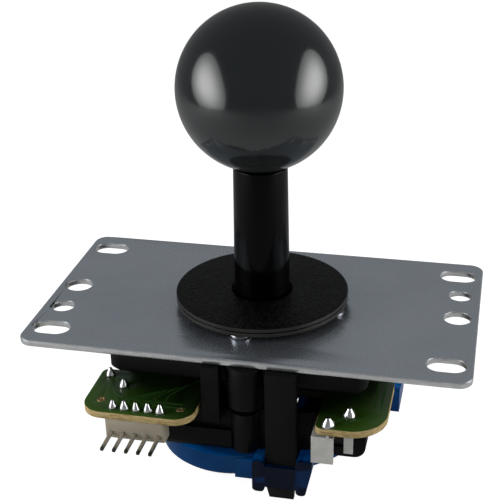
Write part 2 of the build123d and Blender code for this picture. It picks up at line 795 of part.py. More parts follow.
slot_start = arm_start - arm_clearance
slot_end = arm_end + arm_clearance
with BuildPart() as gate_frame:
    gate_round((0, 0), gate_r)
    gate_round((gate_lobe_out, gate_lobe_side), gate_lobe_r)
    for side in sides:
        deeper = 1 - side % 2
        reach = bracket_outer + deeper * bracket_side_extra
        foot_z = bracket_bottom_z + deeper * bracket_side_lift
        left_wing = ((bracket_start, bracket_left_top_z), (slot_start, bracket_left_top_z), (slot_start, foot_z),
                     (bracket_start, foot_z))
        right_wing = ((slot_end, bracket_right_top_z), (bracket_end, bracket_right_top_z),
                      (bracket_end, bracket_bar_top_z), (bracket_end - bracket_taper, foot_z), (slot_end, foot_z))
        block(side, gate_window_r, gate_tab_reach, gate_tab_start, bracket_start + bracket_corner_r, gate_tab_top_z,
              gate_tab_bottom_z)
        side_wing(side, bracket_inner, reach, left_wing, bracket_corner_r)
        side_wing(side, bracket_inner, reach, right_wing, bracket_corner_r)
        block(side, bracket_inner, reach, slot_start - bracket_corner_r, slot_end + bracket_corner_r,
              bracket_bar_top_z, bracket_bar_bottom_z)
        block(side, arm_inner - arm_clearance, clip_arm_outer + arm_clearance, slot_start, slot_end,
              bracket_bar_top_z, bracket_bottom_z, Mode.SUBTRACT)
    disc(gate_window_r, lower_bottom_z, gate_bottom_z, Mode.SUBTRACT)
    disc(plate_insert_r + insert_gap, lower_bottom_z, insert_bottom_z, Mode.SUBTRACT)
save(gate_frame, "gate_frame")

with BuildPart() as restrictor_plate:
    with BuildSketch(Plane.XY.offset(insert_bottom_z)):
        Circle(plate_insert_r)
        RectangleRounded(2 * restrictor_half, 2 * restrictor_half, restrictor_corner_r, mode=Mode.SUBTRACT)
    extrude(amount=restrictor_top_z - insert_gap - insert_bottom_z)
save(restrictor_plate, "restrictor_plate")
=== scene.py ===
import json
import math
import random

import bmesh
import bpy
from mathutils import Matrix, Vector


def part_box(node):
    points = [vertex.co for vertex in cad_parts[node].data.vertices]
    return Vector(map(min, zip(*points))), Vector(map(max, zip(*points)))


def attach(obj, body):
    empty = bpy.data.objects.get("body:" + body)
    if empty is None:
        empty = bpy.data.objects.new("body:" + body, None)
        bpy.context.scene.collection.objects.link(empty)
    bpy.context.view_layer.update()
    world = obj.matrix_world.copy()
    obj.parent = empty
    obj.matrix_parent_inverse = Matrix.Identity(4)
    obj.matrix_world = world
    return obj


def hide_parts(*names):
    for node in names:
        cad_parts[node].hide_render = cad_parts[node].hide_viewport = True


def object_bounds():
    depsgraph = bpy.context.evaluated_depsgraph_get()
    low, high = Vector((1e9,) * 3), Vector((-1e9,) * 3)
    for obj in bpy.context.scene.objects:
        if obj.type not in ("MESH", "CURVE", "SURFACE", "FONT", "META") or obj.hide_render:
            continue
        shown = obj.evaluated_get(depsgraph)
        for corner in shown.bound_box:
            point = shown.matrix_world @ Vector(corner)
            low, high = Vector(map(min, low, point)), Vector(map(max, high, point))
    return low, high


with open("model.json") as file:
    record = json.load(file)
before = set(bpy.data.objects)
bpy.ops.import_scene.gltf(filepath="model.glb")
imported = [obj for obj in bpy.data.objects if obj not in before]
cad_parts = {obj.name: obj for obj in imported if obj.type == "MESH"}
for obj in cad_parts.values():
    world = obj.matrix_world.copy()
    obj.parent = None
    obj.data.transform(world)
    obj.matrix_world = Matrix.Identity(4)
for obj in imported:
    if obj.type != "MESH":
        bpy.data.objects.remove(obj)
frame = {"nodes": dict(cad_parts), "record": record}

# Looks for the arcade joystick lever. The frame is the model's: plate top at z 0, lever on the
# Z axis, -Y to the front. Shapes and bump depths are in millimetres and MM turns them into
# metres. Where materials change along an axis or a radius, and for floor and lamps, lengths are
# in metres.
cad_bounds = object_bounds()
MM = 0.001
NODES = frame["nodes"]
SLOTS = {part["node"]: part["material_slot"] for part in frame["record"]["subparts"]}
BODY_OF = {node: body for body, nodes in frame["record"]["behaviour"]["bodies"].items()
           for node in nodes}
SIDES = ("right", "rear", "left", "front")
rng = random.Random(7)


# Material helpers.

class Shader:
    """A procedural material around one Principled BSDF, in object coordinates (metres)."""

    def __init__(self, name):
        self.mat = bpy.data.materials.new(name)
        self.mat.use_nodes = True
        self.tree = self.mat.node_tree
        self.bsdf = self.tree.nodes["Principled BSDF"]
        self.coords = self.node("ShaderNodeTexCoord")

    def node(self, kind, **settings):
        made = self.tree.nodes.new(kind)
        for key, value in settings.items():
            setattr(made, key, value)
        return made

    def link(self, out, socket):
        self.tree.links.new(out, socket)

    def feed(self, value, socket):
        """Gives a socket a number, or the output of another node."""
        if isinstance(value, (int, float)):
            socket.default_value = value
        else:
            self.link(value, socket)

    def set(self, **values):
        """Sets sockets of the BSDF by name, with _ for a space."""
        for key, value in values.items():
            self.bsdf.inputs[key.replace("_", " ")].default_value = value

    def noise(self, scale, detail=3.0, rough=0.55, distortion=0.0, stretch=(1, 1, 1)):
        mapping = self.node("ShaderNodeMapping")
        mapping.inputs["Scale"].default_value = stretch
        self.link(self.coords.outputs["Object"], mapping.inputs["Vector"])
        made = self.node("ShaderNodeTexNoise")
        made.inputs["Scale"].default_value = scale
        made.inputs["Detail"].default_value = detail
        made.inputs["Roughness"].default_value = rough
        made.inputs["Distortion"].default_value = distortion
        self.link(mapping.outputs["Vector"], made.inputs["Vector"])
        return made.outputs["Fac"]

    def ramp(self, fac, stops):
        made = self.node("ShaderNodeValToRGB")
        ramp = made.color_ramp
        while len(ramp.elements) < len(stops):
            ramp.elements.new(0.5)
        for element, (place, colour) in zip(ramp.elements, stops):
            element.position = place
            element.color = (*colour, 1.0)
        self.link(fac, made.inputs["Fac"])
        return made.outputs["Color"]

    def tones(self, fac, low, high, start=0.3, end=0.7):
        """Ramp between two colours, over the middle of a noise unless told otherwise."""
        return self.ramp(fac, [(start, low), (end, high)])

    def span(self, fac, low, high, start=0.3, end=0.7):
        """Maps start...end of a value to low...high."""
        made = self.node("ShaderNodeMapRange")
        made.inputs["From Min"].default_value = start
        made.inputs["From Max"].default_value = end
        made.inputs["To Min"].default_value = low
        made.inputs["To Max"].default_value = high
        self.link(fac, made.inputs["Value"])
        return made.outputs["Result"]

    def mix(self, fac, first, second, kind="RGBA"):
        made = self.node("ShaderNodeMix", data_type=kind)
        self.feed(fac, made.inputs["Factor"])
        self.link(first, made.inputs["A"])
        self.link(second, made.inputs["B"])
        return made.outputs["Result"]

    def math(self, operation, first, second):
        made = self.node("ShaderNodeMath", operation=operation)
        for socket, value in zip(made.inputs, (first, second)):
            self.feed(value, socket)
        return made.outputs["Value"]

    def bump(self, height, depth, strength=1.0, after=None):
        made = self.node("ShaderNodeBump")
        made.inputs["Strength"].default_value = strength
        made.inputs["Distance"].default_value = depth * MM
        self.link(height, made.inputs["Height"])
        if after is not None:
            self.link(after, made.inputs["Normal"])
        return made.outputs["Normal"]

    def axis(self, letter, source="Object"):
        """One component of the object coordinates, or of the normal."""
        parts = self.node("ShaderNodeSeparateXYZ")
        self.link(self.coords.outputs[source], parts.inputs["Vector"])
        return parts.outputs[letter]

    def up(self):
        """1 on faces that look straight up or down, 0 on upright ones."""
        return self.span(self.math("ABSOLUTE", self.axis("Z", "Normal"), 0.0), 0.0, 1.0, 0.55, 0.8)

    def reach(self):
        """Distance from the lever's upright axis, in metres."""
        level = self.node("ShaderNodeVectorMath", operation="MULTIPLY")
        level.inputs[1].default_value = (1.0, 1.0, 0.0)
        away = self.node("ShaderNodeVectorMath", operation="LENGTH")
        self.link(self.coords.outputs["Object"], level.inputs[0])
        self.link(level.outputs["Vector"], away.inputs[0])
        return away.outputs["Value"]

    def colour(self, out):
        self.link(out, self.bsdf.inputs["Base Color"])

    def roughness(self, out):
        self.link(out, self.bsdf.inputs["Roughness"])

    def normal(self, out):
        self.link(out, self.bsdf.inputs["Normal"])


def tone(colour, factor):
    return tuple(min(1.0, channel * factor) for channel in colour)


def plain_surface(name, colour, rough, spread=0.25, blotch=160, grain=2600, depth=0.02, strength=0.5,
                  stretch=(1, 1, 1), **settings):
    """Moulded or plated surface: soft blotches of colour, uneven roughness and a fine grain."""
    made = Shader(name)
    made.set(**settings)
    blotches = made.noise(blotch, 4.0)
    fine = made.noise(grain, 2.0, 0.6, stretch=stretch)
    made.colour(made.tones(blotches, tone(colour, 1 - spread), tone(colour, 1 + spread), 0.25, 0.75))
    made.roughness(made.span(blotches, *rough))
    made.normal(made.bump(fine, depth, strength))
    return made.mat


def zinc_material():
    """Zinc plate: bluish grey, faint mottling and speckle; its sheared edges streaked and painted
    paler as a highlight.
    """
    made = Shader("zinc_plate")
    made.set(Metallic=0.85)
    fleck_share = 0.35
    cloud = made.noise(45, 5.0)
    speck = made.noise(2400, 2.0, 0.7)
    drawn = made.noise(300, 3.0, 0.6, stretch=(1, 1, 6))
    face = made.tones(cloud, (0.66, 0.71, 0.79), (0.78, 0.83, 0.91))
    fleck = made.tones(speck, (0.60, 0.65, 0.71), (0.78, 0.83, 0.90), 0.35, 0.62)
    # Painted highlight: the edges get a paler colour than the face, standing in for the lamp light
    # they catch.
    edge = made.tones(drawn, (0.66, 0.67, 0.67), (0.92, 0.93, 0.93))
    flat = made.up()
    made.colour(made.mix(flat, edge, made.mix(fleck_share, face, fleck)))
    rough_edge = made.span(cloud, 0.30, 0.42)
    rough_face = made.span(speck, 0.23, 0.34)
    made.roughness(made.mix(flat, rough_edge, rough_face, "FLOAT"))
    made.normal(made.bump(speck, 0.012, 0.7))
    return made.mat


def board_material():
    """Circuit board: green mask over a faint weave, painted shade inwards, glass fibre on its edges.

    The outer edge is tan. The inner ones, deep among the housings, are painted dark as shade.
    """
    shaded_to_tan_edge = (0.025, 0.029)
    shaded_to_lit_mask = (0.030, 0.040)
    made = Shader("circuit_board")
    made.set(Specular_IOR_Level=0.3)
    cloud = made.noise(70, 3.0)
    weave = made.noise(900, 2.0, 0.5)
    fibre = made.noise(700, 4.0, 0.6, stretch=(1, 1, 5))
    # Painted shade: the mask is dark inwards, where the plate shades the board, and lighter at its lit
    # front.
    dark = made.tones(cloud, (0.004, 0.011, 0.002), (0.008, 0.020, 0.004))
    light = made.tones(cloud, (0.028, 0.072, 0.005), (0.042, 0.095, 0.010))
    outer = made.ramp(fibre, [(0.3, (0.24, 0.14, 0.05)), (0.5, (0.50, 0.37, 0.16)),
                              (0.7, (0.62, 0.50, 0.25))])
    # Painted shade: inner edges, among the housings, get a dark colour in place of the tan fibre.
    inner = made.tones(fibre, (0.006, 0.006, 0.003), (0.014, 0.012, 0.006))
    away = made.reach()
    edge = made.mix(made.span(away, 0.0, 1.0, *shaded_to_tan_edge), inner, outer)
    mask = made.mix(made.span(away, 0.0, 1.0, *shaded_to_lit_mask), dark, light)
    flat = made.up()
    made.colour(made.mix(flat, edge, mask))
    made.roughness(made.span(flat, 0.75, 0.28, 0.2, 0.8))
    made.normal(made.bump(weave, 0.02, 0.35))
    return made.mat


def washer_material():
    """Dust washer: black, with a fine wrinkled grain on its face and a smoother rim painted paler as
    highlight.
    """
    made = Shader("washer_black")
    made.set(IOR=1.2, Specular_IOR_Level=0.5)
    wrinkle = made.noise(850, 3.0, 0.6, distortion=1.6)
    fine = made.noise(3800, 2.0)
    cloud = made.noise(90, 3.0)
    face = made.tones(cloud, (0.0008, 0.0008, 0.0010), (0.0015, 0.0015, 0.0018))
    # Painted highlight: the rim is the same black plastic, given a paler colour for the lamp light it
    # mirrors.
    rim = made.tones(cloud, (0.028, 0.028, 0.026), (0.042, 0.041, 0.038))
    flat = made.up()
    made.colour(made.mix(flat, rim, face))
    made.roughness(made.span(wrinkle, 0.20, 0.30))
    relief = made.bump(made.math("MULTIPLY", wrinkle, flat), 0.5)
    made.normal(made.bump(fine, 0.01, 0.2, after=relief))
    return made.mat


def ball_material():
    """Ball: deep green-grey black, polished, with faint handling marks; its foot is a painted floor
    reflection.
    """
    foot_to_body = (0.034, 0.046)
    made = Shader("ball_black")
    made.set(Specular_IOR_Level=0.85)
    cloud = made.noise(60, 3.0)
    marks = made.noise(900, 2.0)
    body = made.tones(cloud, (0.0030, 0.0052, 0.0060), (0.0050, 0.0080, 0.0090))
    # Painted reflection: the lower part is paler, standing in for the floor that the ball mirrors
    # there.
    foot = made.tones(cloud, (0.030, 0.033, 0.033), (0.040, 0.044, 0.044))
    made.colour(made.mix(made.span(made.axis("Z"), 0.0, 1.0, *foot_to_body), foot, body))
    made.roughness(made.span(marks, 0.10, 0.15))
    made.normal(made.bump(cloud, 0.02, 0.06))
    return made.mat


def pin_material():
    """Tinned header pins, darker towards their tips."""
    tip_to_root = (-0.0396, -0.0382)
    made = Shader("pin_tin")
    made.set(Metallic=1.0)
    cloud = made.noise(420, 4.0)
    bright = made.tones(cloud, (0.60, 0.57, 0.51), (0.86, 0.83, 0.77), 0.25, 0.75)
    dark = made.tones(cloud, (0.03, 0.026, 0.02), (0.10, 0.09, 0.07), 0.25, 0.75)
    made.colour(made.mix(made.span(made.axis("Y"), 0.0, 1.0, *tip_to_root), dark, bright))
    made.roughness(made.span(cloud, 0.22, 0.4))
    made.normal(made.bump(made.noise(2200, 2.0), 0.01, 0.5))
    return made.mat


def gate_material():
    """Clear deep-blue plastic, with painted shade darkening its floor and front bracket, as in the
    photo.
    """
    bracket_to_rim = (-0.0288, -0.0272)
    floor_to_rim = (0.0225, 0.0245)
    made = Shader("clear_blue")
    made.set(IOR=1.35, Transmission_Weight=0.55, Specular_IOR_Level=0.07)
    cloud = made.noise(80, 3.0)
    grain = made.noise(1400, 2.0)
    # Painted shade: the darker blue is the same plastic, darkened where the gate's floor and front
    # bracket lie in shade.
    unshaded_blue = made.tones(cloud, (0.0006, 0.085, 0.33), (0.0012, 0.125, 0.42))
    shaded_blue = made.tones(cloud, (0.0003, 0.004, 0.018), (0.0006, 0.009, 0.036))
    behind_bracket = made.span(made.axis("Y"), 0.0, 1.0, *bracket_to_rim)
    outside_floor = made.span(made.reach(), 0.0, 1.0, *floor_to_rim)
    made.colour(made.mix(made.math("MULTIPLY", behind_bracket, outside_floor), shaded_blue, unshaded_blue))
    made.roughness(made.span(grain, 0.10, 0.2))
    made.normal(made.bump(grain, 0.012, 0.25))
    return made.mat


MATERIALS = {
    "plate_zinc": zinc_material(),
    "steel": plain_surface("bright_steel", (0.62, 0.62, 0.63), (0.22, 0.38), spread=0.15, blotch=200,
                           grain=1600, depth=0.01, strength=0.4, stretch=(1, 1, 8), Metallic=1.0),
    "ball": ball_material(),
    "cover": plain_surface("cover_black", (0.0006, 0.0006, 0.0006), (0.08, 0.14), spread=0.3,
                           blotch=120, grain=900, depth=0.012, strength=0.2, stretch=(1, 1, 0.2),
                           IOR=1.25, Specular_IOR_Level=0.35),
    "washer": washer_material(),
    "housing": plain_surface("housing_black", (0.0026, 0.0026, 0.0027), (0.42, 0.6), spread=0.3,
                             blotch=140, grain=2400, depth=0.03, strength=0.6,
                             IOR=1.3, Specular_IOR_Level=0.3),
    "pivot": plain_surface("pivot_white", (0.72, 0.71, 0.67), (0.35, 0.5), spread=0.06, blotch=120,
                           grain=2000, depth=0.01, strength=0.4),
    "board": board_material(),
    "solder": plain_surface("solder_bright", (0.74, 0.74, 0.74), (0.12, 0.3), spread=0.15, blotch=700,
                            grain=1800, depth=0.03, Metallic=1.0),
    # Painted shade: the white nylon header gets a darker colour for the shade of the plate above it.
    "header": plain_surface("header_in_painted_shade", (0.37, 0.33, 0.25), (0.4, 0.55), spread=0.07, blotch=260,
                            grain=2400, depth=0.012, strength=0.4,
                            Subsurface_Weight=0.12, Subsurface_Scale=0.002),
    "pin": pin_material(),
    "case": plain_surface("case_black", (0.009, 0.009, 0.009), (0.4, 0.55), blotch=180,
                          Specular_IOR_Level=0.2),
    "plunger": plain_surface("plunger_red", (0.5, 0.03, 0.02), (0.35, 0.5), spread=0.12, blotch=300,
                             depth=0.01, strength=0.4),
    "gate": gate_material(),
}
LEAD_TIN = plain_surface("lead_tin", (0.72, 0.71, 0.67), (0.42, 0.6), spread=0.14, blotch=380,
                         grain=1500, depth=0.015, Metallic=0.6)
# Painted shade: the screw heads are darker than bare steel, for the shade under the washers.
SCREW_STEEL = plain_surface("screw_steel", (0.24, 0.24, 0.25), (0.14, 0.24), spread=0.15, blotch=300,
                            grain=1600, depth=0.008, strength=0.3, Metallic=1.0)
VIA_COPPER = plain_surface("pad_gold", (0.36, 0.24, 0.11), (0.3, 0.5), spread=0.2, blotch=900,
                           depth=0.01, strength=0.4, Metallic=0.9)
TRACE_GREEN = plain_surface("trace_green", (0.022, 0.078, 0.012), (0.28, 0.4), spread=0.15, blotch=200,
                            grain=900, strength=0.3)


# Mesh helpers.

WELD = 2e-6  # metres
FLAT_WITHIN = 0.6  # degrees between faces that are joined
EDGE_FROM = 32.0  # degrees between faces whose edge is rounded
POLE_R = 1e-4  # millimetres, under which a ring of a lathed form is one point
MOST_OF_SIDE = 0.45  # share of a side that one rounded corner may take


def low_high(node):
    low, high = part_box(node)
    return low / MM, high / MM


def add_piece(name, mesh, node, material, replaces=True):
    """Links a piece that rides with the body of a node, and by default stands for that node."""
    mesh.materials.clear()
    mesh.materials.append(material)
    piece = bpy.data.objects.new(name, mesh)
    bpy.context.scene.collection.objects.link(piece)
    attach(piece, BODY_OF[node])
    if replaces:
        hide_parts(node)
    return piece


def mesh_from(name, bm):
    bmesh.ops.recalc_face_normals(bm, faces=bm.faces)
    for face in bm.faces:
        face.smooth = True
    mesh = bpy.data.meshes.new(name)
    bm.to_mesh(mesh)
    bm.free()
    return mesh


def dress(node, width, segments=2, material=None, clamp=True):
    """Copies a node's mesh, joins its flat faces and rounds its edges to a width."""
    bm = bmesh.new()
    bm.from_mesh(NODES[node].data)
    bmesh.ops.remove_doubles(bm, verts=bm.verts, dist=WELD)
    bmesh.ops.dissolve_limit(bm, angle_limit=math.radians(FLAT_WITHIN), verts=bm.verts, edges=bm.edges)
    piece = add_piece(node + "_body", mesh_from(node, bm), node, material or MATERIALS[SLOTS[node]])
    bevel = piece.modifiers.new("soft_edges", "BEVEL")
    bevel.width = width * MM
    bevel.segments = segments
    bevel.limit_method = "ANGLE"
    bevel.angle_limit = math.radians(EDGE_FROM)
    bevel.use_clamp_overlap = clamp
    bevel.harden_normals = True
    return piece


def rounded(profile, radius, steps=5):
    """Rounds the inner corners of an open (r, z) profile."""
    made = [profile[0]]
    for before, corner, after in zip(profile, profile[1:], profile[2:]):
        a, b, c = Vector(before), Vector(corner), Vector(after)
        reach = min(radius, (a - b).length * MOST_OF_SIDE, (c - b).length * MOST_OF_SIDE)
        start = b + (a - b).normalized() * reach
        end = b + (c - b).normalized() * reach
        for step in range(steps + 1):
            t = step / steps
            made.append(tuple(start * (1 - t) ** 2 + b * 2 * t * (1 - t) + end * t ** 2))
    made.append(profile[-1])
    return made


def lathe(bm, profile, centre=(0.0, 0.0), segments=96, closed=False):
    """Turns an (r, z) profile round an upright axis; a point at r 0 closes as a pole."""
    rings = []
    for radius, height in profile:
        if radius < POLE_R:
            rings.append([bm.verts.new((centre[0] * MM, centre[1] * MM, height * MM))])
            continue
        ring = []
        for index in range(segments):
            angle = 2 * math.pi * index / segments
            ring.append(bm.verts.new(((centre[0] + radius * math.cos(angle)) * MM,
                                      (centre[1] + radius * math.sin(angle)) * MM, height * MM)))
        rings.append(ring)
    pairs = list(zip(rings, rings[1:]))
    if closed:
        pairs.append((rings[-1], rings[0]))
    for low, high in pairs:
        for index in range(segments):
            following = (index + 1) % segments
            corners = [low[index % len(low)], low[following % len(low)],
                       high[following % len(high)], high[index % len(high)]]
            unique = list(dict.fromkeys(corners))
            if len(unique) > 2:
                bm.faces.new(unique)


def tube(name, node, bore, outer_low, outer_high, low, high, edge, material, segments=128):
    """Ring or tapered tube with rounded edges."""
    middle = (low + high) / 2
    profile = [(bore, middle), (bore, low), (outer_low, low), (outer_high, high), (bore, high),
               (bore, middle)]
    bm = bmesh.new()
    lathe(bm, rounded(profile, edge)[:-1], segments=segments, closed=True)
    return add_piece(name, mesh_from(name, bm), node, material)


def quarter_turned(point, quarter):
    """A plan point turned by quarters round the lever's axis."""
    cosine, sine = math.cos(quarter * math.pi / 2), math.sin(quarter * math.pi / 2)
    return (point[0] * cosine - point[1] * sine, point[0] * sine + point[1] * cosine)


# Ball, with a flat foot and a bore from below.

ball_low, ball_high = low_high("ball_top")
BALL_R = (ball_high.x - ball_low.x) / 2
BALL_Z = ball_high.z - BALL_R
BORE_R = 3.0
BORE_DEPTH = 14.0
BORE_TOP = ball_low.z + BORE_DEPTH
ARC_STEPS = 96
foot_angle = math.asin((ball_low.z - BALL_Z) / BALL_R)
ball_profile = [(0.0, BORE_TOP), (BORE_R, BORE_TOP), (BORE_R, ball_low.z)]
for step in range(ARC_STEPS):
    angle = foot_angle + (math.pi / 2 - foot_angle) * step / ARC_STEPS
    ball_profile.append((BALL_R * math.cos(angle), BALL_Z + BALL_R * math.sin(angle)))
ball_profile.append((0.0, BALL_Z + BALL_R))
bm = bmesh.new()
lathe(bm, ball_profile, segments=160)
add_piece("ball", mesh_from("ball", bm), "ball_top", MATERIALS["ball"])


# Cover, drawn up to the ball so that no light shows between them, and the two washers.

COVER_BORE = 4.15
COVER_TAPER = 0.4
COVER_RISE = 0.6  # at most, and never past the ball's foot
COVER_EDGE = 0.2
cover_low, cover_high = low_high("shaft_cover")
COVER_LOW_R = (cover_high.x - cover_low.x) / 2
tube("cover", "shaft_cover", COVER_BORE, COVER_LOW_R, COVER_LOW_R - COVER_TAPER, cover_low.z,
     min(cover_high.z + COVER_RISE, ball_low.z), COVER_EDGE, MATERIALS["cover"])

WASHER_BORES = {"slip_washer": 8.6, "dust_washer": 6.65}
WASHER_EDGE = 0.32
for node, bore in WASHER_BORES.items():
    low, high = low_high(node)
    tube(node + "_ring", node, bore, high.x, high.x, low.z, high.z, WASHER_EDGE,
         MATERIALS["washer"], 192)


# Plate, housings, gate, board and what is inside, each with the width of its rounded edges.

plate = dress("mounting_plate", 0.42, 3, clamp=False)
dress("upper_housing", 0.3)
dress("lower_housing", 0.3)
dress("gate_frame", 0.35, 3)
dress("restrictor_plate", 0.25)
dress("circuit_board", 0.09, clamp=False)
dress("plate_screws", 0.12, material=SCREW_STEEL)
dress("header_body", 0.18)
dress("header_pins", 0.14)
dress("actuator", 0.2)
dress("actuator_clip", 0.12)
dress("pivot_clip", 0.12)
dress("shaft", 0.12)
dress("spring_seat", 0.08)
dress("pivot_ball", 0.15)
dress("ball_insert", 0.2)
for side in SIDES:
    dress("switch_case_" + side, 0.25)
    dress("switch_leads_" + side, 0.07, material=LEAD_TIN)
    dress("switch_blade_" + side, 0.06, 1)
    dress("switch_plunger_" + side, 0.15)
NODES["return_spring"].data.materials.clear()
NODES["return_spring"].data.materials.append(MATERIALS["steel"])


# Solder on the board, a drop on each pin. The last two switch pins have smaller drops.

BOARD_TOP = low_high("circuit_board")[1].z
PITCH = 2.54
HEADER_X, HEADER_Y = -20.0, -31.6
SWITCH_PINS = ((19.6, -29.6), (23.4, -25.4))
header_points = [(HEADER_X + PITCH * (index - 2), HEADER_Y) for index in range(5)]
switch_points = [quarter_turned(pin, quarter) for quarter in range(4) for pin in SWITCH_PINS]
HEADER_DROP_R = 1.0
SWITCH_DROP_R = 1.4
SMALL_DROP_R = 1.05
DROP_HEIGHT = 2.0
DROP_SIZES = (0.94, 1.04)
DROP_HEIGHTS = (0.92, 1.0)
DROP_LEAN = 0.12
DROP_WOBBLE = 0.05
# Radius as a share of the drop's, and height in millimetres before its random change.
DROP_PROFILE = ((0.0, 0.0), (1.0, 0.0), (1.0, 0.2), (0.93, 0.5), (0.8, 0.85), (0.64, 1.2),
                (0.48, 1.52), (0.38, 1.74), (0.33, 1.88), (0.22, 1.97), (0.0, DROP_HEIGHT))


def solder_drop(bm, x, y, base):
    """Pointed bead of solder round a pin, each one a little different."""
    size = base * rng.uniform(*DROP_SIZES)
    height = rng.uniform(*DROP_HEIGHTS)
    lean = (rng.uniform(-DROP_LEAN, DROP_LEAN), rng.uniform(-DROP_LEAN, DROP_LEAN))
    start = len(bm.verts)
    lathe(bm, [(r * size, z * height) for r, z in DROP_PROFILE], (x, y), segments=32)
    bm.verts.ensure_lookup_table()
    for vert in bm.verts[start:]:
        share = vert.co.z / MM / DROP_HEIGHT
        angle = math.atan2(vert.co.y - y * MM, vert.co.x - x * MM)
        wobble = 1 + DROP_WOBBLE * math.sin(3 * angle + x) * (1 - share)
        vert.co.x = x * MM + (vert.co.x - x * MM) * wobble + lean[0] * share * MM
        vert.co.y = y * MM + (vert.co.y - y * MM) * wobble + lean[1] * share * MM
        vert.co.z += BOARD_TOP * MM


bm = bmesh.new()
for point in header_points:
    solder_drop(bm, *point, HEADER_DROP_R)
for point in switch_points[:-2]:
    solder_drop(bm, *point, SWITCH_DROP_R)
for point in switch_points[-2:]:
    solder_drop(bm, *point, SMALL_DROP_R)
add_piece("solder_drops", mesh_from("solder_drops", bm), "solder_joints", MATERIALS["solder"])


# Two plated vias beside the header: a barrel in the hole and a ring on the board.

VIA_BORE = 0.46
VIA_WALL_R = 0.52
VIA_BOTTOM = BOARD_TOP - 0.4
SUNK = BOARD_TOP - 0.02  # underside of the rings and the traces
RING_TOP = BOARD_TOP + 0.03
VIAS = (((header_points[0][0] - 1.3 * PITCH, HEADER_Y + PITCH), 1.0),
        ((header_points[-1][0] + 1.5 * PITCH, HEADER_Y + 0.7 * PITCH), 0.85))
bm = bmesh.new()
for centre, ring_r in VIAS:
    lathe(bm, [(VIA_BORE, RING_TOP), (VIA_BORE, VIA_BOTTOM), (VIA_WALL_R, VIA_BOTTOM),
               (VIA_WALL_R, SUNK), (ring_r, SUNK), (ring_r, RING_TOP)],
          centre, segments=32, closed=True)
add_piece("board_pads", mesh_from("board_pads", bm), "circuit_board", VIA_COPPER, replaces=False)


# Traces under the green mask.

TRACE_TOP = BOARD_TOP + 0.02
FINE_TRACE, TRACE, WIDE_TRACE = 0.3, 0.5, 0.6


def trace(bm, points, width):
    """Raised line of copper under the mask, along a run of points."""
    path = [Vector(point) for point in points]
    sides = []
    for index, point in enumerate(path):
        ahead = path[min(index + 1, len(path) - 1)] - point
        behind = point - path[max(index - 1, 0)]
        run = (ahead.normalized() + behind.normalized()).normalized()
        normal = Vector((-run.y, run.x))
        reach = width / 2
        if 0 < index < len(path) - 1:
            reach /= max(0.5, run.dot(ahead.normalized()))
        sides.append((point + normal * reach, point - normal * reach))
    for (a, b), (c, d) in zip(sides, sides[1:]):
        corners = [a, b, d, c]
        upper = [bm.verts.new((p.x * MM, p.y * MM, TRACE_TOP * MM)) for p in corners]
        lower = [bm.verts.new((p.x * MM, p.y * MM, SUNK * MM)) for p in corners]
        bm.faces.new(upper)
        bm.faces.new(lower[::-1])
        for index in range(4):
            following = (index + 1) % 4
            bm.faces.new((upper[index], lower[index], lower[following], upper[following]))


bm = bmesh.new()

# From the header: each trace leaves its pin, bends, and joins a bundle that runs inwards. The
# steps are from one trace to the next.
PIN_GAP = 1.2
BEND_Y, BEND_STEP = -29.2, 0.95
KNEE_X, KNEE_STEP = -13.0, 0.55
KNEE_FALL, FALL_STEP = 4.0, 0.2
BUNDLE_Y, BUNDLE_STEP = -17.0, 0.5
BUNDLE_START, BUNDLE_END = -8.6, -4.6
for index, (x, y) in enumerate(header_points):
    bundle_y = BUNDLE_Y + BUNDLE_STEP * index
    trace(bm, [(x, y + PIN_GAP), (x, BEND_Y + BEND_STEP * index),
               (KNEE_X + KNEE_STEP * index, bundle_y - KNEE_FALL + FALL_STEP * index),
               (BUNDLE_START, bundle_y), (BUNDLE_END, bundle_y)], FINE_TRACE)

# Between the two pins of each switch.
for first, second in zip(switch_points[0::2], switch_points[1::2]):
    middle = ((first[0] + second[0]) / 2, (first[1] + second[1]) / 2)
    trace(bm, [first, middle, second], WIDE_TRACE)

# Along each lobe's outer side, and round its corner.
ARC_X, ARC_Y, ARC_R = 23.3, -22.8, 4.6
ARC_START, ARC_SWEEP, ARC_PARTS = -84, 66, 8
LOBE_RUNS = (((28.0, -21.6), (28.0, -11.0)), ((29.4, -21.6), (29.4, -10.0)))
arc_angles = [math.radians(ARC_START + ARC_SWEEP * step / ARC_PARTS) for step in range(ARC_PARTS + 1)]
corner_run = [(ARC_X + ARC_R * math.cos(angle), ARC_Y + ARC_R * math.sin(angle))
              for angle in arc_angles]
for quarter in range(4):
    for run in (*LOBE_RUNS, corner_run):
        trace(bm, [quarter_turned(point, quarter) for point in run], TRACE)
trace_mesh = mesh_from("board_traces", bm)
for polygon in trace_mesh.polygons:
    polygon.use_smooth = False
add_piece("board_traces", trace_mesh, "circuit_board", TRACE_GREEN, replaces=False)


# Camera, fitted to the photo: angles in degrees, lengths in millimetres and picture values in pixels.

AZIMUTH, ELEVATION, ROLL = (math.radians(angle) for angle in (12.49, 25.95, -0.89))
DISTANCE = 250.84
TARGET_Z = 10.0
FOCAL_PX = 1145.97
PICTURE = 500.0
CENTRE_X, CENTRE_Y = 261.82, 259.95
SENSOR = 36.0
back = Vector((math.sin(AZIMUTH) * math.cos(ELEVATION), -math.cos(AZIMUTH) * math.cos(ELEVATION),
               math.sin(ELEVATION)))
level_right = Vector((math.cos(AZIMUTH), math.sin(AZIMUTH), 0.0))
level_up = back.cross(level_right)
right = level_right * math.cos(ROLL) + level_up * math.sin(ROLL)
up = level_up * math.cos(ROLL) - level_right * math.sin(ROLL)
camera_data = bpy.data.cameras.new("camera")
camera_data.sensor_width = SENSOR
camera_data.lens = FOCAL_PX * SENSOR / PICTURE
camera_data.shift_x = (PICTURE / 2 - CENTRE_X) / PICTURE
camera_data.shift_y = (CENTRE_Y - PICTURE / 2) / PICTURE
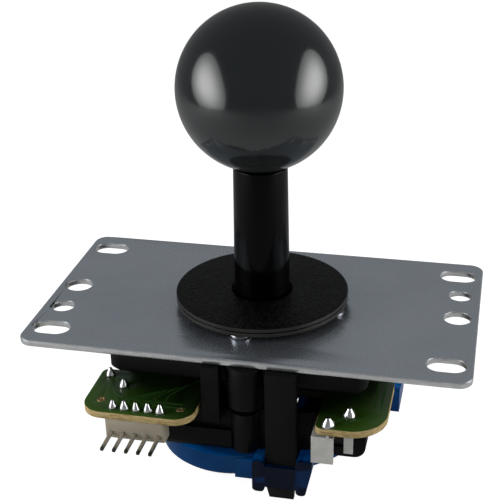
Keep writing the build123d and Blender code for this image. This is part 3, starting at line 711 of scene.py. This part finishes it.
camera_data.clip_start = 0.01
camera_data.clip_end = 50.0
camera = bpy.data.objects.new("camera", camera_data)
bpy.context.scene.collection.objects.link(camera)
placed = Matrix((right, up, back)).transposed().to_4x4()
placed.translation = (back * DISTANCE + Vector((0, 0, TARGET_Z))) * MM
camera.matrix_world = placed
bpy.context.scene.camera = camera


# Floor: a matt grey that keeps the object's shadow. Where no shadow falls, the camera and rays
# through the gate see it as white, and mirrored rays see a share of that.

FLOOR_Z = cad_bounds[0][2] - 0.0002
FLOOR_HALF = 12.0
FLOOR_FILL = 0.9
MIRRORED_SHARE = 0.11
floor_mesh = bpy.data.meshes.new("floor")
floor_mesh.from_pydata([(-FLOOR_HALF, -FLOOR_HALF, FLOOR_Z), (FLOOR_HALF, -FLOOR_HALF, FLOOR_Z),
                        (FLOOR_HALF, FLOOR_HALF, FLOOR_Z), (-FLOOR_HALF, FLOOR_HALF, FLOOR_Z)],
                       [], [(0, 1, 2, 3)])
floor = bpy.data.objects.new("floor", floor_mesh)
bpy.context.scene.collection.objects.link(floor)
shader = Shader("floor_white")
shader.set(Roughness=0.9, Specular_IOR_Level=0.0, Emission_Color=(1, 1, 1, 1))
shader.colour(shader.tones(shader.noise(3, 2.0), (0.44, 0.44, 0.44), (0.46, 0.46, 0.46)))
rays = shader.node("ShaderNodeLightPath").outputs
seen = shader.math("MAXIMUM", rays["Is Camera Ray"], rays["Is Transmission Ray"])
seen = shader.math("MAXIMUM", seen, shader.math("MULTIPLY", rays["Is Glossy Ray"], MIRRORED_SHARE))
shader.link(shader.math("MULTIPLY", seen, FLOOR_FILL), shader.bsdf.inputs["Emission Strength"])
floor_mesh.materials.append(shader.mat)


# World: a weak cool light, and white where the camera sees it past the floor's edge.

world = bpy.data.worlds.new("studio")
world.use_nodes = True
world_nodes, world_links = world.node_tree.nodes, world.node_tree.links
room_light = world_nodes["Background"]
room_light.inputs["Color"].default_value = (0.95, 0.98, 1.0, 1.0)
room_light.inputs["Strength"].default_value = 0.2
backdrop = world_nodes.new("ShaderNodeBackground")
backdrop.inputs["Color"].default_value = (1.0, 1.0, 1.0, 1.0)
backdrop.inputs["Strength"].default_value = 1.0
ray = world_nodes.new("ShaderNodeLightPath")
shown = world_nodes.new("ShaderNodeMixShader")
world_links.new(ray.outputs["Is Camera Ray"], shown.inputs["Fac"])
world_links.new(room_light.outputs["Background"], shown.inputs[1])
world_links.new(backdrop.outputs["Background"], shown.inputs[2])
world_links.new(shown.outputs["Shader"], world_nodes["World Output"].inputs["Surface"])
bpy.context.scene.world = world
bpy.context.scene.view_settings.view_transform = "Standard"


# Lamps, in metres and degrees.

LAMP_AIM = Vector((0, 0, 49)) * MM
LAMP_LIFT = 9
LAMP_DISTANCE = 0.30
LAMP_WIDTH, LAMP_HEIGHT = 0.42, 0.27
LAMP_RIM = 0.2


def softbox(name, turn, roll, power):
    """Oval lamp aimed at the ball, brightest in its middle, placed by its turn from the camera.

    Its glow falls from near the middle to the rim, 0.5 from the middle in the lamp's own measure.
    """
    angle = AZIMUTH + math.radians(turn)
    rise = math.radians(LAMP_LIFT)
    away = Vector((math.sin(angle) * math.cos(rise), -math.cos(angle) * math.cos(rise),
                   math.sin(rise)))
    data = bpy.data.lights.new(name, "AREA")
    data.shape = "ELLIPSE"
    data.size = LAMP_WIDTH
    data.size_y = LAMP_HEIGHT
    data.energy = power
    data.use_nodes = True
    tree = data.node_tree
    glow = next(node for node in tree.nodes if node.type == "EMISSION")
    spot = tree.nodes.new("ShaderNodeNewGeometry")
    offset = tree.nodes.new("ShaderNodeVectorMath")
    offset.operation = "DISTANCE"
    offset.inputs[1].default_value = (0.5, 0.5, 0.0)
    fade = tree.nodes.new("ShaderNodeMapRange")
    fade.interpolation_type = "SMOOTHSTEP"
    fade.inputs["From Min"].default_value = 0.5
    fade.inputs["From Max"].default_value = 0.05
    fade.inputs["To Min"].default_value = LAMP_RIM
    fade.inputs["To Max"].default_value = 1.0
    tree.links.new(spot.outputs["Parametric"], offset.inputs[0])
    tree.links.new(offset.outputs["Value"], fade.inputs["Value"])
    tree.links.new(fade.outputs["Result"], glow.inputs["Strength"])
    lamp = bpy.data.objects.new(name, data)
    bpy.context.scene.collection.objects.link(lamp)
    facing = away.to_track_quat("Z", "Y").to_matrix().to_4x4()
    turned = facing @ Matrix.Rotation(math.radians(roll), 4, "Z")
    turned.translation = LAMP_AIM + away * LAMP_DISTANCE
    lamp.matrix_world = turned
    lamp.visible_camera = False
    return lamp


def lights_plate(lamp, state):
    """Keeps a lamp off the plate (EXCLUDE) or on the plate alone (INCLUDE)."""
    group = bpy.data.collections.new(lamp.name + "_receivers")
    group.objects.link(plate)
    group.collection_objects[0].light_linking.link_state = state
    lamp.light_linking.receiver_collection = group


# The plate mirrors the softboxes when it is seen from the sides, so it gets a weaker pair of its own.
PLATE_SHARE = 0.22
for side, turn, roll, power in (("left", -75, -38, 1.65), ("right", 78, 40, 1.6)):
    lights_plate(softbox("softbox_" + side, turn, roll, power), "EXCLUDE")
    lights_plate(softbox("plate_softbox_" + side, turn, roll, power * PLATE_SHARE), "INCLUDE")
